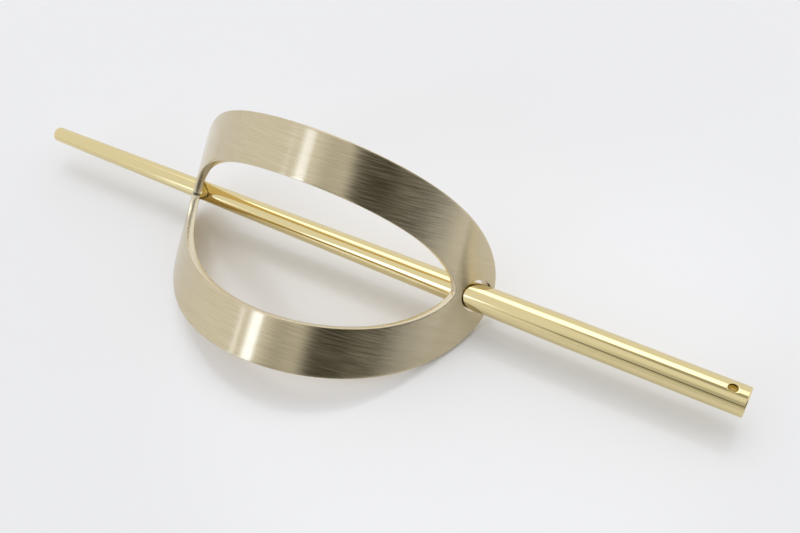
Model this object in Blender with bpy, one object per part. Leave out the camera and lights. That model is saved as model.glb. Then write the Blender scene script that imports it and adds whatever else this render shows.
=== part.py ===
# Hairpin: an arched oval band of sheet brass, and a tapered brass stick that slides through its end holes.
# All lengths are metres and all angles radians.  The world has +Z up and its floor at zero.
# The stick lies along X with its thick end at +X, and the origin is under the middle of the whole pin.

import math

import bmesh
import bpy
from mathutils import Euler, Vector

# Stick
STICK_LENGTH = 0.1364
STICK_THICK_DIAMETER = 0.0050
STICK_TIP_DIAMETER = 0.0028
STICK_STRAIGHT_LENGTH = 0.0300
STICK_THICK_END_FROM_MIDDLE = 0.0740
STICK_END_BREAK = 0.0002
STICK_TIP_ROUND = 0.0006
CORD_HOLE_DIAMETER = 0.0016
CORD_HOLE_FROM_END = 0.00265
CORD_HOLE_TURN = math.radians(2.0)

# Band, measured on the flat sheet before it is bent
BAND_OVAL_LENGTH = 0.0810
BAND_OVAL_WIDTH = 0.0386
BAND_WIDTH = 0.0084
SHEET_THICKNESS = 0.0014
SHEET_EDGE_BREAK = 0.00015
OPENING_END_ROUND = 0.0005
STICK_HOLE_FROM_END = 0.0040

# Bend of the band: the slope of the sheet at its two ends, and the share of its curvature lost there
END_SLOPE = math.radians(61.2)
BEND_FADE_SHARE = 0.88

# Fit, how far every cutter runs past what it cuts, and how near two corners are one corner
RUNNING_GAP = 0.0003
CUT_OVERRUN = 0.0040
MERGE_DISTANCE = 0.00001

# How the pin lies: the band leans over about the stick, towards -Y, and the stick lies askew in its
# holes, by these shares of its clearance: to -Y at the thick end's hole, and to +Y at the thin end's
LEAN_ANGLE = math.radians(44.0)
THICK_ASIDE_SHARE = 0.65
THIN_ASIDE_SHARE = 0.50

# Finish of the two pieces
BRUSHED_COLOUR = (0.62, 0.52, 0.33)
BRUSHED_ROUGHNESS = 0.36
POLISHED_COLOUR = (0.76, 0.60, 0.28)
POLISHED_ROUGHNESS = 0.12

# Mesh steps
STEPS_ROUND_OVAL = 144
STEPS_ACROSS_BAND = 6
STEPS_ROUND_STICK = 48
STEPS_ROUND_HOLE = 48
STEPS_IN_ROUNDING = 4
STEPS_IN_BEND = 400
STEPS_IN_EDGE_BREAK = 2
EDGE_BREAK_FROM_ANGLE = math.radians(60.0)
SMOOTH_BELOW_ANGLE = math.radians(30.0)

# Sizes that follow from the ones above
HALF_OVAL_LENGTH = BAND_OVAL_LENGTH / 2
HALF_OVAL_WIDTH = BAND_OVAL_WIDTH / 2
STICK_THICK_RADIUS = STICK_THICK_DIAMETER / 2
STICK_TIP_RADIUS = STICK_TIP_DIAMETER / 2
STICK_HOLE_RADIUS = STICK_THICK_RADIUS + RUNNING_GAP
CORD_HOLE_RADIUS = CORD_HOLE_DIAMETER / 2
STICK_TIP_FROM_MIDDLE = STICK_THICK_END_FROM_MIDDLE - STICK_LENGTH
BEND_RADIUS = HALF_OVAL_LENGTH * (1 - BEND_FADE_SHARE / 3) / END_SLOPE


def clear_scene():
    for item in list(bpy.data.objects):
        bpy.data.objects.remove(item, do_unlink=True)


def make_material(name, colour, roughness):
    material = bpy.data.materials.new(name)
    material.use_nodes = True
    shader = material.node_tree.nodes["Principled BSDF"]
    shader.inputs["Base Color"].default_value = (*colour, 1.0)
    shader.inputs["Metallic"].default_value = 1.0
    shader.inputs["Roughness"].default_value = roughness
    material.diffuse_color = (*colour, 1.0)
    return material


def make_object(name, mesh_builder, material=None):
    mesh = bpy.data.meshes.new(name)
    builder = bmesh.new()
    mesh_builder(builder)
    builder.to_mesh(mesh)
    builder.free()
    item = bpy.data.objects.new(name, mesh)
    bpy.context.scene.collection.objects.link(item)
    if material:
        mesh.materials.append(material)
    return item


def bend_angle(along):
    # Slope of the sheet at a distance along it from its middle, the curvature fading towards the ends
    faded = BEND_FADE_SHARE * along ** 3 / (3 * HALF_OVAL_LENGTH ** 2)
    return (along - faded) / BEND_RADIUS


def bend_point(along, depth):
    # Place in the X-Z plane of a point of the bent sheet, its depth measured in from the outer face
    step = along / STEPS_IN_BEND
    across = 0.0
    drop = 0.0
    for index in range(STEPS_IN_BEND):
        slope = bend_angle((index + 0.5) * step)
        across += step * math.cos(slope)
        drop += step * math.sin(slope)
    slope = bend_angle(along)
    return across - depth * math.sin(slope), -drop - depth * math.cos(slope)


# The line through both end holes crosses the middle of the sheet
STICK_HOLE_ALONG = HALF_OVAL_LENGTH - STICK_HOLE_FROM_END
HOLE_FROM_MIDDLE, HOLE_HEIGHT = bend_point(STICK_HOLE_ALONG, SHEET_THICKNESS / 2)

# The band's turn about the vertical and its shift along Y, from how far aside the stick lies in the holes
TAPER_LENGTH = STICK_LENGTH - STICK_STRAIGHT_LENGTH
THIN_HOLE_TAPER_SHARE = (-HOLE_FROM_MIDDLE - STICK_TIP_FROM_MIDDLE) / TAPER_LENGTH
TAPER_RISE = STICK_THICK_RADIUS - STICK_TIP_RADIUS
THIN_HOLE_STICK_RADIUS = STICK_TIP_RADIUS + THIN_HOLE_TAPER_SHARE * TAPER_RISE
THICK_ASIDE = THICK_ASIDE_SHARE * RUNNING_GAP
THIN_ASIDE = THIN_ASIDE_SHARE * (STICK_HOLE_RADIUS - THIN_HOLE_STICK_RADIUS)
ASIDE_TURN = math.asin((THICK_ASIDE + THIN_ASIDE) / (2 * HOLE_FROM_MIDDLE))
BAND_ASIDE = (THICK_ASIDE - THIN_ASIDE) / 2


def outer_edge(turn):
    return HALF_OVAL_LENGTH * math.cos(turn), HALF_OVAL_WIDTH * math.sin(turn)


def opening_edge(turn):
    # The outer edge moved in square to itself by the band's width, rounded where it would cross the middle
    along, aside = outer_edge(turn)
    normal_along = math.cos(turn) / HALF_OVAL_LENGTH
    normal_aside = math.sin(turn) / HALF_OVAL_WIDTH
    size = math.hypot(normal_along, normal_aside)
    reach = BAND_WIDTH + OPENING_END_ROUND
    if reach < size * HALF_OVAL_WIDTH ** 2:
        core_along = along - reach * normal_along / size
        core_aside = aside - reach * normal_aside / size
    else:
        slimness = HALF_OVAL_WIDTH / HALF_OVAL_LENGTH
        corner_share = math.sqrt((1 - (reach / HALF_OVAL_WIDTH) ** 2) / (1 - slimness ** 2))
        corner = corner_share * (HALF_OVAL_LENGTH - HALF_OVAL_WIDTH * slimness)
        core_along = math.copysign(corner, along)
        core_aside = 0.0
    round_along = OPENING_END_ROUND * normal_along / size
    round_aside = OPENING_END_ROUND * normal_aside / size
    return core_along + round_along, core_aside + round_aside


def band_point(turn, inward_share, depth):
    # Point of the bent band, its place across the band a share of the way in from the outer edge
    outer_along, outer_aside = outer_edge(turn)
    inner_along, inner_aside = opening_edge(turn)
    along = outer_along + inward_share * (inner_along - outer_along)
    aside = outer_aside + inward_share * (inner_aside - outer_aside)
    across, height = bend_point(along, depth)
    return across, aside, height - HOLE_HEIGHT


def build_band_face(builder):
    rows = []
    for step in range(STEPS_ROUND_OVAL):
        turn = 2 * math.pi * step / STEPS_ROUND_OVAL
        row = []
        for column in range(STEPS_ACROSS_BAND + 1):
            row.append(builder.verts.new(band_point(turn, column / STEPS_ACROSS_BAND, 0.0)))
        rows.append(row)
    for step in range(STEPS_ROUND_OVAL):
        this_row = rows[step]
        next_row = rows[(step + 1) % STEPS_ROUND_OVAL]
        for column in range(STEPS_ACROSS_BAND):
            corners = (this_row[column], next_row[column], next_row[column + 1], this_row[column + 1])
            builder.faces.new(corners)


def build_rod(radius, length, steps):
    def build(builder):
        bmesh.ops.create_cone(
            builder,
            cap_ends=True,
            segments=steps,
            radius1=radius,
            radius2=radius,
            depth=length,
        )

    return build


def stick_profile():
    # Half outline of the stick from the middle of its thick end down to the middle of its tip
    top = STICK_THICK_END_FROM_MIDDLE
    bottom = STICK_TIP_FROM_MIDDLE
    points = [
        (0.0, top),
        (STICK_THICK_RADIUS - STICK_END_BREAK, top),
        (STICK_THICK_RADIUS, top - STICK_END_BREAK),
        (STICK_THICK_RADIUS, top - STICK_STRAIGHT_LENGTH),
    ]
    for step in range(STEPS_IN_ROUNDING + 1):
        turn = math.pi / 2 * step / STEPS_IN_ROUNDING
        radius = STICK_TIP_RADIUS - STICK_TIP_ROUND * (1 - math.cos(turn))
        points.append((radius, bottom + STICK_TIP_ROUND * (1 - math.sin(turn))))
    points.append((0.0, bottom))
    return points


def build_stick_profile(builder):
    corners = [builder.verts.new((radius, 0.0, height)) for radius, height in stick_profile()]
    for first, second in zip(corners, corners[1:]):
        builder.edges.new((first, second))


def add_drill(target, cutter, name):
    cutter.hide_render = True
    cutter.display_type = 'WIRE'
    drill = target.modifiers.new(name, 'BOOLEAN')
    drill.operation = 'DIFFERENCE'
    drill.solver = 'EXACT'
    drill.object = cutter


def shade_round(item):
    item.data.shade_smooth()
    item.data.set_sharp_from_angle(angle=SMOOTH_BELOW_ANGLE)


def make_band(material, pose):
    band = make_object("band", build_band_face, material)
    band.parent = pose

    sheet = band.modifiers.new("sheet thickness", 'SOLIDIFY')
    sheet.thickness = SHEET_THICKNESS
    sheet.offset = -1.0
    sheet.use_even_offset = True

    edges = band.modifiers.new("broken edges", 'BEVEL')
    edges.width = SHEET_EDGE_BREAK
    edges.segments = STEPS_IN_EDGE_BREAK
    edges.limit_method = 'ANGLE'
    edges.angle_limit = EDGE_BREAK_FROM_ANGLE
    edges.use_clamp_overlap = False

    reach = BAND_OVAL_LENGTH + 2 * CUT_OVERRUN
    cutter = make_object("stick_hole_cutter", build_rod(STICK_HOLE_RADIUS, reach, STEPS_ROUND_HOLE))
    cutter.rotation_euler = (0.0, math.pi / 2, 0.0)
    cutter.parent = pose
    add_drill(band, cutter, "stick holes")
    return band


def make_stick(material, pose):
    # The stick's origin is on its own axis, which is the line that it slides along
    stick = make_object("stick", build_stick_profile, material)
    stick.rotation_euler = (0.0, math.pi / 2, 0.0)
    stick.parent = pose

    turned = stick.modifiers.new("turned round", 'SCREW')
    turned.axis = 'Z'
    turned.angle = 2 * math.pi
    turned.steps = STEPS_ROUND_STICK
    turned.render_steps = STEPS_ROUND_STICK
    turned.use_merge_vertices = True
    turned.merge_threshold = MERGE_DISTANCE
    turned.use_normal_calculate = True

    reach = STICK_THICK_DIAMETER + 2 * CUT_OVERRUN
    cutter = make_object("cord_hole_cutter", build_rod(CORD_HOLE_RADIUS, reach, STEPS_ROUND_HOLE))
    cutter.parent = stick
    cutter.location = (0.0, 0.0, STICK_THICK_END_FROM_MIDDLE - CORD_HOLE_FROM_END)
    cutter.rotation_euler = (0.0, math.pi / 2, CORD_HOLE_TURN)
    add_drill(stick, cutter, "cord hole")
    return stick


def lying_turn():
    return Euler((LEAN_ANGLE, 0.0, ASIDE_TURN)).to_matrix()


def band_box():
    # Lowest and highest place of the lying band in Y and in Z, from the line through its holes
    break_share = SHEET_EDGE_BREAK / BAND_WIDTH
    edges = (
        (0.0, SHEET_EDGE_BREAK),
        (0.0, SHEET_THICKNESS - SHEET_EDGE_BREAK),
        (break_share, 0.0),
        (break_share, SHEET_THICKNESS),
        (1 - break_share, 0.0),
        (1 - break_share, SHEET_THICKNESS),
    )
    lying = lying_turn()
    points = []
    for step in range(STEPS_ROUND_OVAL):
        turn = 2 * math.pi * step / STEPS_ROUND_OVAL
        for inward_share, depth in edges:
            points.append(lying @ Vector(band_point(turn, inward_share, depth)))
    asides = [point.y for point in points]
    heights = [point.z for point in points]
    return (min(asides), max(asides)), (min(heights), max(heights))


def lying_place():
    # The world origin is under the middle of the box round the lying pin, on the floor that it lies on
    middle_along = (STICK_THICK_END_FROM_MIDDLE + STICK_TIP_FROM_MIDDLE) / 2
    asides, heights = band_box()
    return Vector((-middle_along, -sum(asides) / 2, -heights[0]))


def main():
    clear_scene()
    brushed = make_material("brushed_brass", BRUSHED_COLOUR, BRUSHED_ROUGHNESS)
    polished = make_material("polished_brass", POLISHED_COLOUR, POLISHED_ROUGHNESS)

    band_pose = bpy.data.objects.new("band_pose", None)
    stick_pose = bpy.data.objects.new("stick_pose", None)
    for pose in (band_pose, stick_pose):
        bpy.context.scene.collection.objects.link(pose)
    band_pose.rotation_euler = lying_turn().to_euler()
    band_pose.location = lying_place()
    stick_pose.location = lying_place() - Vector((0.0, BAND_ASIDE, 0.0))

    band = make_band(brushed, band_pose)
    stick = make_stick(polished, stick_pose)
    for item in (band, stick):
        shade_round(item)


main()
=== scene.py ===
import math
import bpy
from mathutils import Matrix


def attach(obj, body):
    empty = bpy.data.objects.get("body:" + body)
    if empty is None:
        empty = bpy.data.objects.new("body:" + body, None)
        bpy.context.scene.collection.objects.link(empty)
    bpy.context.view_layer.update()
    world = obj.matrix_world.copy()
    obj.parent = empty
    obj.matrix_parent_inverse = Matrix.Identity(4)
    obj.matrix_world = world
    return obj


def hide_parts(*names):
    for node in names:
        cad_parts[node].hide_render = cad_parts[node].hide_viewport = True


bl_info = {
    "name": "Brass Hairpin",
    "version": (1, 0, 0),
    "blender": (4, 5, 0),
    "location": "3D View > Sidebar > Hairpin",
    "description": "Builds a hairpin: an arched band of brushed brass and a tapered polished stick",
    "category": "Add Mesh",
}

import bmesh
import bpy
from bpy.props import (
    FloatProperty,
    FloatVectorProperty,
    IntProperty,
    PointerProperty,
    StringProperty,
)
from mathutils import Euler, Matrix

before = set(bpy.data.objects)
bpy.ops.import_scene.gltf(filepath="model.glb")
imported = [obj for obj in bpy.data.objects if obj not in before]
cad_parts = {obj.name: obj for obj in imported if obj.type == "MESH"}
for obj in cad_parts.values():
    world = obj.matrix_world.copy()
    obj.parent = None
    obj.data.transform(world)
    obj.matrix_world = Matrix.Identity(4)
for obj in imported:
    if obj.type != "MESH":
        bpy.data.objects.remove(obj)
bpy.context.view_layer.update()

MATH = "ShaderNodeMath"
QUARTER_TURN = math.radians(90.0)
FULL_TURN = math.radians(360.0)

# What the flat band stores before it is bent: its place on the sheet, and how far each face
# looks up
SHEET_MAP = "sheet"
FLAT_RISE = "flat_rise"
# A face that looks up or down less than this is part of a cut edge
EDGE_RISE = 0.55
# Steps in each rounded corner of the strip, and cuts across each of its two broad sides
CORNER_STEPS = 3
BROAD_CUTS = 24

# Steps round the two drills
BAND_DRILL_STEPS = 96
STICK_DRILL_STEPS = 64
# Drilled edges that turn more than this get a broken rim
RIM_ANGLE = math.radians(42.0)
# Edges that turn more than this shade as corners
CORNER_ANGLE = math.radians(40.0)

# Steps along the stick's outline
BREAK_STEPS = 4
STRAIGHT_STEPS = 80
TAPER_STEPS = 48
TIP_STEPS = 8
# Distance of the rings on both sides of the thick end's rounded rim, in widths of its rounding.
# They keep the rim out of the shading of the bar and of the end face.
RIM_RINGS = 1.15
MERGE_DISTANCE = 0.000001


# Settings


class HairpinBandSettings(bpy.types.PropertyGroup):
    oval_length: FloatProperty(
        name="Oval length", description="Length of the flat oval, before it is bent",
        default=0.0810, unit="LENGTH", precision=4,
    )
    oval_width: FloatProperty(
        name="Oval width", description="Width of the oval",
        default=0.0386, unit="LENGTH", precision=4,
    )
    band_width: FloatProperty(
        name="Band width", description="Width of the band all the way round",
        default=0.0084, unit="LENGTH", precision=4,
    )
    thickness: FloatProperty(
        name="Sheet thickness", description="Gauge of the sheet",
        default=0.0014, unit="LENGTH", precision=5,
    )
    edge_radius: FloatProperty(
        name="Edge radius", description="Rounding that deburring leaves on the cut edges",
        default=0.00012, unit="LENGTH", precision=5,
    )
    end_slope: FloatProperty(
        name="End slope", description="Slope of the bent sheet at its two ends",
        default=math.radians(61.2), unit="ROTATION",
    )
    bend_fade: FloatProperty(
        name="Bend fade", description="Share of the curvature that is lost at the two ends",
        default=0.88, subtype="FACTOR", min=0.0, max=1.0,
    )
    hole_diameter: FloatProperty(
        name="Hole diameter", description="Diameter of the two holes that the stick slides through",
        default=0.0056, unit="LENGTH", precision=4,
    )
    hole_from_end: FloatProperty(
        name="Hole from end", description="Distance along the sheet from its end to the hole",
        default=0.0040, unit="LENGTH", precision=4,
    )
    lean: FloatProperty(
        name="Lean", description="How far the band leans over about the line through its holes",
        default=math.radians(44.0), unit="ROTATION",
    )
    turn: FloatProperty(
        name="Turn",
        description="How far the band is turned about the vertical, by the play in its holes",
        default=math.radians(0.7326), unit="ROTATION",
    )
    place: FloatVectorProperty(
        name="Place", description="Middle of the line through the two holes",
        default=(-0.0058, 0.0105229, 0.0060404), subtype="TRANSLATION", unit="LENGTH", precision=5,
    )
    steps_round: IntProperty(
        name="Steps round", description="Mesh steps round the oval",
        default=432, min=24,
    )
    steps_along: IntProperty(
        name="Steps along", description="Steps in which the line of the bend is summed",
        default=400, min=24,
    )


class HairpinStickSettings(bpy.types.PropertyGroup):
    length: FloatProperty(
        name="Length", description="Length of the stick",
        default=0.1364, unit="LENGTH", precision=4,
    )
    thick_diameter: FloatProperty(
        name="Thick diameter", description="Diameter of the straight thick end",
        default=0.0050, unit="LENGTH", precision=4,
    )
    tip_diameter: FloatProperty(
        name="Tip diameter", description="Diameter of the thin end",
        default=0.0028, unit="LENGTH", precision=4,
    )
    straight_length: FloatProperty(
        name="Straight length", description="Length of the thick end before the taper starts",
        default=0.0300, unit="LENGTH", precision=4,
    )
    end_break: FloatProperty(
        name="End break", description="Rounding on the rim of the thick end",
        default=0.0002, unit="LENGTH", precision=5,
    )
    tip_round: FloatProperty(
        name="Tip rounding", description="Rounding on the rim of the thin end",
        default=0.0006, unit="LENGTH", precision=5,
    )
    cord_hole_diameter: FloatProperty(
        name="Cord hole diameter", description="Diameter of the small hole across the thick end",
        default=0.0016, unit="LENGTH", precision=4,
    )
    cord_hole_from_end: FloatProperty(
        name="Cord hole from end", description="Distance from the end face to the cord hole",
        default=0.00265, unit="LENGTH", precision=5,
    )
    cord_hole_turn: FloatProperty(
        name="Cord hole turn", description="How far the cord hole is turned about the stick",
        default=math.radians(2.0), unit="ROTATION",
    )
    hole_break: FloatProperty(
        name="Hole break", description="Width of the broken rim of the drilled holes",
        default=0.00012, unit="LENGTH", precision=5,
    )
    thick_end: FloatVectorProperty(
        name="Thick end", description="Middle of the thick end's face",
        default=(0.0682, 0.0106866, 0.0060404), subtype="TRANSLATION", unit="LENGTH", precision=5,
    )
    steps_round: IntProperty(
        name="Steps round", description="Mesh steps round the stick",
        default=160, min=24,
    )


class HairpinFinishSettings(bpy.types.PropertyGroup):
    brushed_colour: StringProperty(
        name="Brushed brass", description="sRGB hex colour of the brushed faces",
        default="D7CAAC",
    )
    brushed_shade: StringProperty(
        name="Brushed shade", description="sRGB hex colour in the deeper brush lines",
        default="CEC1A2",
    )
    edge_colour: StringProperty(
        name="Cut edge", description="sRGB hex colour of the cut edges",
        default="EADFC6",
    )
    back_colour: StringProperty(
        name="Back of the sheet", description="sRGB hex colour of the unbrushed inner faces",
        default="E2C98E",
    )
    polished_colour: StringProperty(
        name="Polished brass", description="sRGB hex colour of the polished stick",
        default="E4D4A1",
    )
    brush_line_width: FloatProperty(
        name="Brush line width", description="Width of one brush line",
        default=0.00022, unit="LENGTH", precision=5,
    )
    brush_line_length: FloatProperty(
        name="Brush line length", description="Length of one brush line",
        default=0.0055, unit="LENGTH", precision=4,
    )
    brush_patch_width: FloatProperty(
        name="Brush patch width", description="Width of a patch that is brushed more heavily",
        default=0.0013, unit="LENGTH", precision=4,
    )
    brush_patch_length: FloatProperty(
        name="Brush patch length", description="Length of a patch that is brushed more heavily",
        default=0.0400, unit="LENGTH", precision=4,
    )
    drawn_line_width: FloatProperty(
        name="Drawn line width", description="Width of the fine lines along the stick",
        default=0.00025, unit="LENGTH", precision=5,
    )
    drawn_line_length: FloatProperty(
        name="Drawn line length", description="Length of the fine lines along the stick",
        default=0.0200, unit="LENGTH", precision=4,
    )
    wear_size: FloatProperty(
        name="Wear size", description="Size of the cloudy patches where the polish is worn",
        default=0.0060, unit="LENGTH", precision=4,
    )
    file_mark_size: FloatProperty(
        name="File mark size", description="Distance between the file marks on the cut edges",
        default=0.0003, unit="LENGTH", precision=5,
    )
    mark_depth: FloatProperty(
        name="Mark depth", description="Depth of the brush lines and of the drawn lines",
        default=0.00002, unit="LENGTH", precision=6,
    )


class HairpinStudioSettings(bpy.types.PropertyGroup):
    floor_size: FloatProperty(
        name="Floor size", description="Side of the square floor",
        default=60.0, unit="LENGTH",
    )
    floor_colour: StringProperty(
        name="Floor", description="sRGB hex colour of the pale board",
        default="FBFBFD",
    )
    floor_roughness: FloatProperty(
        name="Floor roughness", description="Roughness of the board under the pin",
        default=0.16, subtype="FACTOR", min=0.0, max=1.0,
    )
    gloss_reach: FloatProperty(
        name="Gloss reach",
        description="Distance from the pin at which the board's gloss starts to fade",
        default=0.06, unit="LENGTH",
    )
    matt_reach: FloatProperty(
        name="Matt reach", description="Distance from the pin at which the board is wholly matt",
        default=0.30, unit="LENGTH",
    )
    wall_light: FloatProperty(
        name="Wall light", description="Light of the room's plain walls",
        default=0.90, min=0.0,
    )
    camera_place: FloatVectorProperty(
        name="Camera place", description="Where the camera stands",
        default=(0.066579, -0.076555, 0.140561), subtype="TRANSLATION", unit="LENGTH", precision=5,
    )
    camera_turn: FloatVectorProperty(
        name="Camera turn", description="How the camera is turned",
        default=(math.radians(37.7717), math.radians(3.9007), math.radians(28.6015)),
        subtype="EULER",
    )
    lens: FloatProperty(
        name="Lens", description="Focal length for a sensor 36 mm wide, in millimetres",
        default=45.0,
    )


class HairpinSettings(bpy.types.PropertyGroup):
    band: PointerProperty(type=HairpinBandSettings)
    stick: PointerProperty(type=HairpinStickSettings)
    finish: PointerProperty(type=HairpinFinishSettings)
    studio: PointerProperty(type=HairpinStudioSettings)


# Helpers


def colour_from_hex(text):
    """sRGB hex to the linear colour that shaders use."""
    shares = [int(text[start:start + 2], 16) / 255 for start in (0, 2, 4)]
    return [s / 12.92 if s <= 0.04045 else ((s + 0.055) / 1.055) ** 2.4 for s in shares] + [1.0]


def add_node(tree, kind, links=(), **settings):
    """Adds one node. Its links go to its inputs, in order or by name or number. Each is a value,
    a socket, or a node whose first output is meant."""
    node = tree.nodes.new(kind)
    for name, value in settings.items():
        setattr(node, name, value)
    for key, value in links.items() if isinstance(links, dict) else enumerate(links):
        if isinstance(value, bpy.types.Node):
            value = value.outputs[0]
        if isinstance(value, bpy.types.NodeSocket):
            tree.links.new(value, node.inputs[key])
        else:
            node.inputs[key].default_value = value
    return node


def plain_mesh(item, name):
    """The evaluated object as a plain mesh, with its modifiers applied."""
    depsgraph = bpy.context.evaluated_depsgraph_get()
    mesh = bpy.data.meshes.new_from_object(item.evaluated_get(depsgraph), depsgraph=depsgraph)
    mesh.name = name
    return mesh


def add_object(name, mesh):
    item = bpy.data.objects.new(name, mesh)
    bpy.context.scene.collection.objects.link(item)
    return item


# Materials


# Part of the noise's range that each pattern spreads over its roughness or tint
LINE_NOISE = (0.36, 0.70)
TINT_NOISE = (0.38, 0.62)
CLOUD_NOISE = (0.3, 0.7)
BAR_NOISE = (0.35, 0.65)
# Roughness of each finish, from its smoothest to its roughest places
BRUSHED_ROUGHNESS = (0.17, 0.255)
EDGE_ROUGHNESS = (0.20, 0.28)
ROLLED_ROUGHNESS = (0.12, 0.20)
POLISHED_ROUGHNESS = (0.06, 0.11)
# Share of the broad pattern that is mixed into the fine lines
PATCH_SHARE = 0.3
WEAR_SHARE = 0.5
# Strength of the relief of the lines
BRUSHED_RELIEF = 0.14
DRAWN_RELIEF = 0.03


def new_material(name):
    """A new metal with its tree and shader, or the one that is made already, without them."""
    old = bpy.data.materials.get(name)
    if old:
        return old, None, None
    material = bpy.data.materials.new(name)
    material.use_nodes = True
    tree = material.node_tree
    shader = tree.nodes["Principled BSDF"]
    shader.inputs["Metallic"].default_value = 1.0
    return material, tree, shader


def add_grain(tree, place, length, width):
    """Noise in grains that lie along X, this long and this wide in metres."""
    spread = add_node(
        tree, "ShaderNodeMapping", {"Vector": place, "Scale": (1 / length, 1 / width, 1 / width)},
    )
    return add_node(tree, "ShaderNodeTexNoise", {"Vector": spread, "Scale": 1.0, "Detail": 2.0})


def brushed_brass(finish):
    """Brass sheet brushed with a fine belt along its length: a satin sheen, crisp along the brush
    lines and smeared across them, with faint streaks that catch light where the sheet looks
    dark."""
    material, tree, shader = new_material("brushed_brass_sheet")
    if tree is None:
        return material
    flat_place = add_node(tree, "ShaderNodeUVMap", uv_map=SHEET_MAP)
    # A 180 grit belt cuts lines up to 0.08 mm wide. A pixel of the render covers nearly 0.2 mm,
    # so the lines are drawn a little wider than a pixel, or they wouldn't show.
    lines = add_grain(tree, flat_place, finish.brush_line_length, finish.brush_line_width)
    # Where the belt's grains stood higher, a run of lines a millimetre or so wide is deeper
    patches = add_grain(tree, flat_place, finish.brush_patch_length, finish.brush_patch_width)
    both = add_node(
        tree, "ShaderNodeMix", {0: PATCH_SHARE, 2: lines, 3: patches}, data_type="FLOAT",
    )
    tint = add_node(tree, "ShaderNodeMapRange", (both, *TINT_NOISE, 0.0, 1.0))
    light = colour_from_hex(finish.brushed_colour)
    deep = colour_from_hex(finish.brushed_shade)
    colour = add_node(tree, "ShaderNodeMix", {0: tint, 6: deep, 7: light}, data_type="RGBA")
    tree.links.new(colour.outputs[2], shader.inputs["Base Color"])
    # The deeper lines are rougher
    roughness = add_node(tree, "ShaderNodeMapRange", (lines, *LINE_NOISE, *BRUSHED_ROUGHNESS))
    tree.links.new(roughness.outputs[0], shader.inputs["Roughness"])
    bump = add_node(
        tree, "ShaderNodeBump",
        {"Strength": BRUSHED_RELIEF, "Distance": finish.mark_depth, "Height": lines},
    )
    tree.links.new(bump.outputs[0], shader.inputs["Normal"])
    # The sheen is wide across the brush lines, which run along the flat sheet
    shader.inputs["Anisotropic"].default_value = 1.0
    shader.inputs["Anisotropic Rotation"].default_value = 0.25
    tangent = add_node(tree, "ShaderNodeTangent", direction_type="UV_MAP", uv_map=SHEET_MAP)
    tree.links.new(tangent.outputs[0], shader.inputs["Tangent"])
    return material


def cut_brass_edge(finish):
    """Brass edge as sawn and then deburred: paler than the faces, with a sheen that faint file
    marks break up."""
    material, tree, shader = new_material("deburred_brass_edge")
    if tree is None:
        return material
    place = add_node(tree, "ShaderNodeTexCoord").outputs["Object"]
    # A fine file's marks are 0.1 to 0.2 mm apart, and are drawn further apart so that they show
    marks = add_grain(tree, place, finish.file_mark_size, finish.file_mark_size)
    shader.inputs["Base Color"].default_value = colour_from_hex(finish.edge_colour)
    roughness = add_node(tree, "ShaderNodeMapRange", (marks, *CLOUD_NOISE, *EDGE_ROUGHNESS))
    tree.links.new(roughness.outputs[0], shader.inputs["Roughness"])
    return material


def rolled_brass(finish):
    """Brass sheet as it leaves the rolling mill, on the side that isn't brushed: yellower and
    nearly a mirror, a little clouded."""
    material, tree, shader = new_material("rolled_brass_sheet")
    if tree is None:
        return material
    place = add_node(tree, "ShaderNodeTexCoord").outputs["Object"]
    # Handling clouds the metal in patches about half as wide as a fingertip
    wear = add_grain(tree, place, finish.wear_size, finish.wear_size)
    shader.inputs["Base Color"].default_value = colour_from_hex(finish.back_colour)
    roughness = add_node(tree, "ShaderNodeMapRange", (wear, *CLOUD_NOISE, *ROLLED_ROUGHNESS))
    tree.links.new(roughness.outputs[0], shader.inputs["Roughness"])
    return material


def polished_brass(finish):
    """Brass bar turned and then buffed along its length: mirror bright, with fine drawn lines that
    soften the reflections a little."""
    material, tree, shader = new_material("polished_brass_bar")
    if tree is None:
        return material
    place = add_node(tree, "ShaderNodeTexCoord").outputs["Object"]
    # Buffing leaves lines a few hundredths of a millimetre wide. They are drawn a little wider
    # than a pixel of the render, which covers nearly 0.2 mm, or they wouldn't show.
    lines = add_grain(tree, place, finish.drawn_line_length, finish.drawn_line_width)
    wear = add_grain(tree, place, finish.wear_size, finish.wear_size)
    both = add_node(tree, "ShaderNodeMix", {0: WEAR_SHARE, 2: lines, 3: wear}, data_type="FLOAT")
    shader.inputs["Base Color"].default_value = colour_from_hex(finish.polished_colour)
    roughness = add_node(tree, "ShaderNodeMapRange", (both, *BAR_NOISE, *POLISHED_ROUGHNESS))
    tree.links.new(roughness.outputs[0], shader.inputs["Roughness"])
    bump = add_node(
        tree, "ShaderNodeBump",
        {"Strength": DRAWN_RELIEF, "Distance": finish.mark_depth, "Height": lines},
    )
    tree.links.new(bump.outputs[0], shader.inputs["Normal"])
    return material


def glossy_board(studio):
    """Pale laminate board: one even colour, with a soft mirror gloss round the pin that ends in
    matt."""
    material = bpy.data.materials.new("pale_laminate_board")
    material.use_nodes = True
    tree = material.node_tree
    shader = tree.nodes["Principled BSDF"]
    shader.inputs["Base Color"].default_value = colour_from_hex(studio.floor_colour)
    place = add_node(tree, "ShaderNodeTexCoord").outputs["Object"]
    distance = add_node(tree, "ShaderNodeVectorMath", (place,), operation="LENGTH").outputs["Value"]
    roughness = add_node(
        tree, "ShaderNodeMapRange",
        (distance, studio.gloss_reach, studio.matt_reach, studio.floor_roughness, 1.0),
        interpolation_type="SMOOTHSTEP",
    )
    tree.links.new(roughness.outputs[0], shader.inputs["Roughness"])
    return material


# Band


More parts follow.
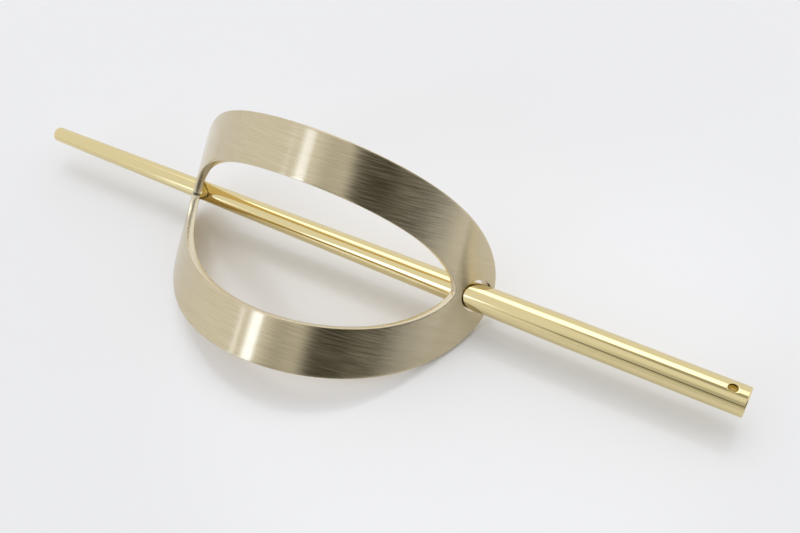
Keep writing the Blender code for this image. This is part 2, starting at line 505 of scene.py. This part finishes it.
def band_inputs(band, finish):
    """Named inputs of the band's node tree, in order."""
    half_length = band.oval_length / 2
    return (
        ("Oval Length", "NodeSocketFloat", band.oval_length),
        ("Oval Width", "NodeSocketFloat", band.oval_width),
        ("Band Width", "NodeSocketFloat", band.band_width),
        ("Sheet Thickness", "NodeSocketFloat", band.thickness),
        ("Edge Radius", "NodeSocketFloat", band.edge_radius),
        ("Bend Radius", "NodeSocketFloat", half_length * (1 - band.bend_fade / 3) / band.end_slope),
        ("Fade Rate", "NodeSocketFloat", band.bend_fade / (3 * half_length ** 2)),
        ("Hole From End", "NodeSocketFloat", band.hole_from_end),
        ("Steps Round", "NodeSocketInt", band.steps_round),
        ("Steps Along", "NodeSocketInt", band.steps_along),
        ("Face Material", "NodeSocketMaterial", brushed_brass(finish)),
        ("Back Material", "NodeSocketMaterial", rolled_brass(finish)),
        ("Edge Material", "NodeSocketMaterial", cut_brass_edge(finish)),
    )


def add_slope(tree, size, distance):
    """Slope of the bent sheet this far along from its middle, where the curvature fades with the
    square of the distance."""
    square = add_node(tree, MATH, (distance, distance), operation="MULTIPLY")
    lost = add_node(tree, MATH, (square, size["Fade Rate"]), operation="MULTIPLY")
    kept = add_node(tree, MATH, (1.0, lost), operation="SUBTRACT")
    turned = add_node(tree, MATH, (distance, kept), operation="MULTIPLY")
    return add_node(tree, MATH, (turned, size["Bend Radius"]), operation="DIVIDE")


def add_bend_line(tree, size):
    """Curve of the bent sheet's outer face in the X-Z plane, summed step by step from its slope."""
    step = add_node(tree, MATH, (size["Oval Length"], size["Steps Along"]), operation="DIVIDE")
    count = add_node(tree, MATH, (size["Steps Along"], 1.0), operation="ADD")
    line = add_node(tree, "GeometryNodeMeshLine", {"Count": count})
    index = add_node(tree, "GeometryNodeInputIndex")
    half_way = add_node(tree, MATH, (size["Steps Along"], 0.5, 0.5), operation="MULTIPLY_ADD")
    steps_off = add_node(tree, MATH, (index, half_way), operation="SUBTRACT")
    distance = add_node(tree, MATH, (steps_off, step), operation="MULTIPLY")
    slope = add_slope(tree, size, distance)
    moves = add_node(tree, MATH, (index, 0.5), operation="GREATER_THAN")
    move = add_node(tree, MATH, (step, moves), operation="MULTIPLY")
    level = add_node(tree, MATH, (slope,), operation="COSINE")
    steep = add_node(tree, MATH, (slope,), operation="SINE")
    across = add_node(tree, MATH, (move, level), operation="MULTIPLY")
    drop = add_node(tree, MATH, (move, steep), operation="MULTIPLY")
    fall = add_node(tree, MATH, (drop, -1.0), operation="MULTIPLY")
    piece = add_node(tree, "ShaderNodeCombineXYZ", (across, 0.0, fall))
    summed = add_node(tree, "GeometryNodeAccumulateField", (piece,), data_type="FLOAT_VECTOR")
    bent = add_node(tree, "GeometryNodeSetPosition", {"Geometry": line, "Position": summed})
    return add_node(tree, "GeometryNodeMeshToCurve", (bent,))


def add_bent_place(tree, size, bend_line, along, depth):
    """Place in the X-Z plane of a point of the bent sheet, this deep under its outer face, measured
    from the middle of that face."""
    share = add_node(tree, MATH, (along, size["Oval Length"]), operation="DIVIDE")
    factor = add_node(tree, MATH, (share, 0.5), operation="ADD")
    samples = [
        add_node(
            tree, "GeometryNodeSampleCurve", {"Curves": bend_line, "Factor": where},
            mode="FACTOR", use_all_curves=False,
        ).outputs["Position"]
        for where in (factor, 0.5)
    ]
    on_face = add_node(tree, "ShaderNodeVectorMath", samples, operation="SUBTRACT")
    slope = add_slope(tree, size, along)
    steep = add_node(tree, MATH, (slope,), operation="SINE")
    level = add_node(tree, MATH, (slope,), operation="COSINE")
    outward = add_node(tree, "ShaderNodeCombineXYZ", (steep, 0.0, level))
    inward = add_node(
        tree, "ShaderNodeVectorMath", {"Vector": outward, "Scale": depth}, operation="SCALE",
    )
    return add_node(tree, "ShaderNodeVectorMath", (on_face, inward), operation="SUBTRACT")


def add_strip_section(tree, size, half_thickness):
    """Section of the strip: a rectangle with rounded corners, whose two broad sides are cut up
    finely so that they bend smoothly."""
    box = add_node(
        tree, "GeometryNodeCurvePrimitiveQuadrilateral",
        {"Width": size["Band Width"], "Height": size["Sheet Thickness"]}, mode="RECTANGLE",
    )
    rounded = add_node(
        tree, "GeometryNodeFilletCurve",
        {"Curve": box, "Count": CORNER_STEPS, "Radius": size["Edge Radius"]}, mode="POLY",
    )
    # Each corner has become a run of points. The side after a corner's last point is broad at every
    # second corner, and those two sides alone are cut up.
    index = add_node(tree, "GeometryNodeInputIndex")
    in_pair = add_node(tree, MATH, (index, 2.0 * (CORNER_STEPS + 1)), operation="MODULO")
    is_broad = add_node(tree, MATH, (in_pair, CORNER_STEPS, 0.5), operation="COMPARE")
    cuts = add_node(tree, MATH, (is_broad, BROAD_CUTS), operation="MULTIPLY")
    cut_up = add_node(tree, "GeometryNodeSubdivideCurve", (rounded, cuts))
    aside = add_node(tree, MATH, (size["Band Width"], -0.5), operation="MULTIPLY")
    shift = add_node(tree, "ShaderNodeCombineXYZ", (aside, half_thickness, 0.0))
    return add_node(tree, "GeometryNodeTransform", {"Geometry": cut_up, "Translation": shift})


def band_tree(inputs):
    """Geometry nodes of the band: a rounded strip swept round the oval, then bent by the rule of
    its slope."""
    tree = bpy.data.node_groups.new("arched_oval_band", "GeometryNodeTree")
    for name, kind, _ in inputs:
        tree.interface.new_socket(name, in_out="INPUT", socket_type=kind)
    tree.interface.new_socket("Geometry", in_out="OUTPUT", socket_type="NodeSocketGeometry")
    size = tree.nodes.new("NodeGroupInput").outputs
    half_length = add_node(tree, MATH, (size["Oval Length"], 0.5), operation="MULTIPLY")
    half_width = add_node(tree, MATH, (size["Oval Width"], 0.5), operation="MULTIPLY")
    half_thickness = add_node(tree, MATH, (size["Sheet Thickness"], 0.5), operation="MULTIPLY")

    circle = add_node(
        tree, "GeometryNodeCurvePrimitiveCircle",
        {"Resolution": size["Steps Round"], "Radius": 1.0}, mode="RADIUS",
    )
    stretch = add_node(tree, "ShaderNodeCombineXYZ", (half_length, half_width, 1.0))
    oval = add_node(tree, "GeometryNodeTransform", {"Geometry": circle, "Scale": stretch})
    rail = add_node(tree, "GeometryNodeSetCurveNormal", {"Curve": oval}, mode="Z_UP")
    section = add_strip_section(tree, size, half_thickness)
    flat = add_node(tree, "GeometryNodeCurveToMesh", {"Curve": rail, "Profile Curve": section})

    # Before the bend, the flat place is kept for the brush lines, and which way each face looks
    position = add_node(tree, "GeometryNodeInputPosition")
    mapped = add_node(
        tree, "GeometryNodeStoreNamedAttribute",
        {"Geometry": flat, "Name": SHEET_MAP, "Value": position},
        data_type="FLOAT2", domain="CORNER",
    )
    normal = add_node(tree, "GeometryNodeInputNormal").outputs[0]
    upward = add_node(tree, "ShaderNodeSeparateXYZ", (normal,)).outputs[2]
    marked = add_node(
        tree, "GeometryNodeStoreNamedAttribute",
        {"Geometry": mapped, "Name": FLAT_RISE, "Value": upward},
        data_type="FLOAT", domain="FACE",
    )

    # The bend keeps each point's distance along, across and through the sheet, and the middle of
    # the holes comes to height 0
    bend_line = add_bend_line(tree, size)
    place = add_node(tree, "ShaderNodeSeparateXYZ", (position,)).outputs
    depth = add_node(tree, MATH, (place[2], -1.0), operation="MULTIPLY")
    bent = add_bent_place(tree, size, bend_line, place[0], depth)
    hole_along = add_node(tree, MATH, (half_length, size["Hole From End"]), operation="SUBTRACT")
    hole = add_bent_place(tree, size, bend_line, hole_along, half_thickness)
    hole_height = add_node(tree, "ShaderNodeSeparateXYZ", (hole,)).outputs[2]
    lift = add_node(tree, MATH, (hole_height, -1.0), operation="MULTIPLY")
    aside_and_up = add_node(tree, "ShaderNodeCombineXYZ", (0.0, place[1], lift))
    whole = add_node(tree, "ShaderNodeVectorMath", (bent, aside_and_up), operation="ADD")
    arched = add_node(tree, "GeometryNodeSetPosition", {"Geometry": marked, "Position": whole})
    smooth = add_node(tree, "GeometryNodeSetShadeSmooth", {"Geometry": arched})
    finished = add_node(tree, "GeometryNodeRealizeInstances", {"Geometry": smooth})
    # Every face is brushed, but for those that looked down before the bend and the narrow ones
    rise = add_node(tree, "GeometryNodeInputNamedAttribute", {"Name": FLAT_RISE}, data_type="FLOAT")
    on_back = add_node(tree, MATH, (rise, 0.0), operation="LESS_THAN")
    off_level = add_node(tree, MATH, (rise,), operation="ABSOLUTE")
    on_edge = add_node(tree, MATH, (off_level, EDGE_RISE), operation="LESS_THAN")
    for where, name in ((True, "Face"), (on_back, "Back"), (on_edge, "Edge")):
        finished = add_node(
            tree, "GeometryNodeSetMaterial",
            {"Geometry": finished, "Selection": where, "Material": size[f"{name} Material"]},
        )
    add_node(tree, "NodeGroupOutput", (finished,))
    return tree


def node_mesh(tree, inputs, name):
    """The plain mesh that a node tree gives for these inputs."""
    item = add_object(name, bpy.data.meshes.new(name))
    modifier = item.modifiers.new(name, "NODES")
    modifier.node_group = tree
    sockets = {s.name: s.identifier for s in tree.interface.items_tree if s.in_out == "INPUT"}
    for label, _, value in inputs:
        modifier[sockets[label]] = value
    mesh = plain_mesh(item, name)
    bpy.data.objects.remove(item)
    return mesh


def rod_mesh(name, radius, length, steps):
    """A plain closed rod along X, for drilling."""
    mesh = bpy.data.meshes.new(name)
    builder = bmesh.new()
    bmesh.ops.create_cone(
        builder, cap_ends=True, segments=steps, radius1=radius, radius2=radius, depth=length,
        matrix=Matrix.Rotation(QUARTER_TURN, 4, "Y"),
    )
    builder.to_mesh(mesh)
    builder.free()
    return mesh


def drilled(mesh, drill_mesh, drill_material, rim_break):
    """The mesh with a hole drilled, its wall in its own material and its rim broken."""
    drill_mesh.materials.append(drill_material)
    drill = add_object("drill", drill_mesh)
    item = add_object("blank", mesh)
    cut = item.modifiers.new("drill", "BOOLEAN")
    cut.operation = "DIFFERENCE"
    cut.solver = "EXACT"
    cut.material_mode = "TRANSFER"
    cut.object = drill
    name = mesh.name
    result = plain_mesh(item, name)
    item.modifiers.clear()
    item.data = result
    rim = item.modifiers.new("rim", "BEVEL")
    rim.width = rim_break
    rim.segments = 2
    rim.limit_method = "ANGLE"
    rim.angle_limit = RIM_ANGLE
    result = plain_mesh(item, name)
    bpy.data.objects.remove(item)
    bpy.data.objects.remove(drill)
    return result


class HAIRPIN_OT_band(bpy.types.Operator):
    """Makes the arched oval band of brushed brass, with its two drilled ends"""

    bl_idname = "hairpin.band"
    bl_label = "Band"

    def execute(self, context):
        settings = context.scene.hairpin
        band = settings.band
        inputs = band_inputs(band, settings.finish)
        mesh = node_mesh(band_tree(inputs), inputs, "arched_band")
        if not mesh.polygons:
            raise RuntimeError("the band's node tree gave no faces")
        # One rod, as long as the oval, drills both ends in line
        drill = rod_mesh("band_drill", band.hole_diameter / 2, band.oval_length, BAND_DRILL_STEPS)
        edge = cut_brass_edge(settings.finish)
        mesh = drilled(mesh, drill, edge, settings.stick.hole_break)
        lying = Euler((band.lean, 0.0, band.turn)).to_matrix().to_4x4()
        mesh.transform(Matrix.Translation(band.place) @ lying)
        mesh.shade_smooth()
        mesh.set_sharp_from_angle(angle=CORNER_ANGLE)
        item = add_object("arched_band", mesh)
        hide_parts("band")
        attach(item, "band")
        return {"FINISHED"}


# Stick


def stick_outline(stick):
    """Half outline of the stick, as (distance from the thick end's face, radius)."""
    thick = stick.thick_diameter / 2
    tip = stick.tip_diameter / 2
    ring = stick.end_break * RIM_RINGS
    points = [(0.0, 0.0), (0.0, thick * 0.5), (0.0, thick - ring)]
    for step in range(BREAK_STEPS + 1):
        turn = QUARTER_TURN * step / BREAK_STEPS
        radius = thick - stick.end_break * (1 - math.sin(turn))
        points.append((stick.end_break * (1 - math.cos(turn)), radius))
    for step in range(STRAIGHT_STEPS + 1):
        share = step / STRAIGHT_STEPS
        points.append((ring + share * (stick.straight_length - ring), thick))
    last = stick.length - stick.tip_round
    for step in range(1, TAPER_STEPS + 1):
        share = step / TAPER_STEPS
        along = stick.straight_length + share * (last - stick.straight_length)
        points.append((along, thick + share * (tip - thick)))
    for step in range(1, TIP_STEPS + 1):
        turn = QUARTER_TURN * step / TIP_STEPS
        radius = tip - stick.tip_round * (1 - math.cos(turn))
        points.append((last + stick.tip_round * math.sin(turn), radius))
    points.append((stick.length, (tip - stick.tip_round) * 0.5))
    points.append((stick.length, 0.0))
    return points


def stick_mesh(stick, material):
    """The stick's outline turned round its own axis, which is X."""
    mesh = bpy.data.meshes.new("tapered_stick")
    builder = bmesh.new()
    corners = [builder.verts.new((-along, 0.0, radius)) for along, radius in stick_outline(stick)]
    lines = [builder.edges.new(pair) for pair in zip(corners, corners[1:])]
    bmesh.ops.spin(
        builder, geom=corners + lines, axis=(1.0, 0.0, 0.0), cent=(0.0, 0.0, 0.0),
        angle=FULL_TURN, steps=stick.steps_round, use_merge=True,
    )
    bmesh.ops.remove_doubles(builder, verts=builder.verts, dist=MERGE_DISTANCE)
    bmesh.ops.recalc_face_normals(builder, faces=builder.faces)
    builder.to_mesh(mesh)
    builder.free()
    mesh.materials.append(material)
    return mesh


class HAIRPIN_OT_stick(bpy.types.Operator):
    """Makes the tapered polished stick, with the cord hole across its thick end"""

    bl_idname = "hairpin.stick"
    bl_label = "Stick"

    def execute(self, context):
        settings = context.scene.hairpin
        stick = settings.stick
        polished = polished_brass(settings.finish)
        mesh = stick_mesh(stick, polished)
        drill_length = stick.thick_diameter * 2
        drill = rod_mesh(
            "stick_drill", stick.cord_hole_diameter / 2, drill_length, STICK_DRILL_STEPS,
        )
        upright = Matrix.Rotation(QUARTER_TURN, 4, "Y")
        turned = Matrix.Rotation(stick.cord_hole_turn, 4, "X")
        middle = Matrix.Translation((-stick.cord_hole_from_end, 0.0, 0.0))
        drill.transform(middle @ turned @ upright)
        mesh = drilled(mesh, drill, polished, stick.hole_break)
        mesh.transform(Matrix.Translation(stick.thick_end))
        mesh.shade_smooth()
        mesh.set_sharp_from_angle(angle=CORNER_ANGLE)
        item = add_object("tapered_stick", mesh)
        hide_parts("stick")
        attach(item, "stick")
        return {"FINISHED"}


# Studio


def room_patches():
    """Patches of the room round the pin: name; middle and half size in degrees, each as compass
    turn from +Y and height over the horizon; softness of the borders in degrees; light and its
    colour."""
    return (
        ("near_side", (176.0, 17.0), (13.0, 30.0), (8.0, 8.0), (0.55, 0.55, 0.52)),
        ("near_table", (-175.0, 20.0), (9.0, 4.5), (5.0, 3.5), (0.15, 0.15, 0.13)),
        ("ceiling_gap", (0.0, 90.0), (180.0, 10.0), (1.0, 4.0), (0.42, 0.41, 0.37)),
        ("grey_wall", (104.0, 8.0), (15.0, 26.0), (4.0, 9.0), (0.23, 0.25, 0.27)),
        ("dark_corner", (135.5, 22.0), (25.5, 36.0), (6.0, 8.0), (0.045, 0.043, 0.030)),
        ("softbox", (-28.0, 62.0), (30.0, 15.0), (8.0, 4.0), (2.2, 2.22, 2.22)),
        ("broad_window", (-156.5, 24.0), (4.5, 12.0), (0.5, 2.0), (2.2, 2.5, 3.3)),
        ("thin_window", (-145.2, 15.0), (0.9, 8.0), (0.4, 2.0), (2.4, 2.7, 3.6)),
    )


def room_light(world, wall_light):
    """A pale room with one large softbox over the far side, two windows and a dark corner."""
    world.use_nodes = True
    tree = world.node_tree
    tree.nodes.clear()
    way = add_node(tree, "ShaderNodeTexCoord").outputs["Generated"]
    parts = add_node(tree, "ShaderNodeSeparateXYZ", (way,)).outputs
    compass = add_node(tree, MATH, (parts[0], parts[1]), operation="ARCTAN2")
    rise = add_node(tree, MATH, (parts[2],), operation="ARCSINE")
    turn = add_node(tree, MATH, (compass,), operation="DEGREES")
    height = add_node(tree, MATH, (rise,), operation="DEGREES")
    walls = (wall_light, wall_light, wall_light)
    light = add_node(tree, "ShaderNodeCombineColor", walls).outputs[0]
    for name, middle, half_size, softness, colour in room_patches():
        off_turn = add_node(tree, MATH, (turn, middle[0]), operation="SUBTRACT")
        aside = add_node(tree, MATH, (off_turn, 180.0, -180.0), operation="WRAP")
        above = add_node(tree, MATH, (height, middle[1]), operation="SUBTRACT")
        share = 1.0
        for offset, half, soft in zip((aside, above), half_size, softness):
            distance = add_node(tree, MATH, (offset,), operation="ABSOLUTE")
            inside = add_node(
                tree, "ShaderNodeMapRange", (distance, half - soft, half + soft, 1.0, 0.0),
                interpolation_type="SMOOTHSTEP",
            )
            share = add_node(tree, MATH, (inside, share), operation="MULTIPLY")
        light = add_node(
            tree, "ShaderNodeMix", {0: share, 6: light, 7: (*colour, 1.0)},
            data_type="RGBA", label=name,
        ).outputs[2]
    # Behind the board the camera sees one plain pale colour
    seen = add_node(tree, "ShaderNodeLightPath").outputs["Is Camera Ray"]
    light = add_node(
        tree, "ShaderNodeMix", {0: seen, 6: light, 7: (*walls, 1.0)}, data_type="RGBA",
    ).outputs[2]
    background = add_node(tree, "ShaderNodeBackground", {"Color": light, "Strength": 1.0})
    add_node(tree, "ShaderNodeOutputWorld", {"Surface": background})


class HAIRPIN_OT_studio(bpy.types.Operator):
    """Sets up the glossy pale board, the soft light of the room and the camera"""

    bl_idname = "hairpin.studio"
    bl_label = "Studio"

    def execute(self, context):
        scene = context.scene
        studio = scene.hairpin.studio
        half = studio.floor_size / 2
        mesh = bpy.data.meshes.new("pale_board")
        corners = ((-half, -half, 0.0), (half, -half, 0.0), (half, half, 0.0), (-half, half, 0.0))
        mesh.from_pydata(corners, [], [(0, 1, 2, 3)])
        mesh.materials.append(glossy_board(studio))
        add_object("pale_board", mesh)

        scene.world = bpy.data.worlds.new("room")
        room_light(scene.world, studio.wall_light)

        camera = bpy.data.cameras.new("camera")
        camera.lens = studio.lens
        camera.clip_start = 0.01
        holder = bpy.data.objects.new("camera", camera)
        holder.location = studio.camera_place
        holder.rotation_euler = studio.camera_turn
        scene.collection.objects.link(holder)
        scene.camera = holder
        scene.view_settings.view_transform = "Standard"
        return {"FINISHED"}


# Panel and registration


class HAIRPIN_PT_panel(bpy.types.Panel):
    bl_idname = "HAIRPIN_PT_panel"
    bl_label = "Hairpin"
    bl_space_type = "VIEW_3D"
    bl_region_type = "UI"
    bl_category = "Hairpin"

    def draw(self, context):
        layout = self.layout
        settings = context.scene.hairpin
        for group, operator in (
            (settings.band, "hairpin.band"),
            (settings.stick, "hairpin.stick"),
            (settings.studio, "hairpin.studio"),
        ):
            box = layout.box()
            for name in group.__annotations__:
                box.prop(group, name)
            box.operator(operator)
        box = layout.box()
        for name in settings.finish.__annotations__:
            box.prop(settings.finish, name)


CLASSES = (
    HairpinBandSettings,
    HairpinStickSettings,
    HairpinFinishSettings,
    HairpinStudioSettings,
    HairpinSettings,
    HAIRPIN_OT_band,
    HAIRPIN_OT_stick,
    HAIRPIN_OT_studio,
    HAIRPIN_PT_panel,
)


def register():
    for item in CLASSES:
        bpy.utils.register_class(item)
    bpy.types.Scene.hairpin = PointerProperty(type=HairpinSettings)


def unregister():
    del bpy.types.Scene.hairpin
    for item in reversed(CLASSES):
        bpy.utils.unregister_class(item)


def main():
    register()
    bpy.ops.hairpin.studio()
    bpy.ops.hairpin.band()
    bpy.ops.hairpin.stick()


if __name__ == "__main__":
    main()
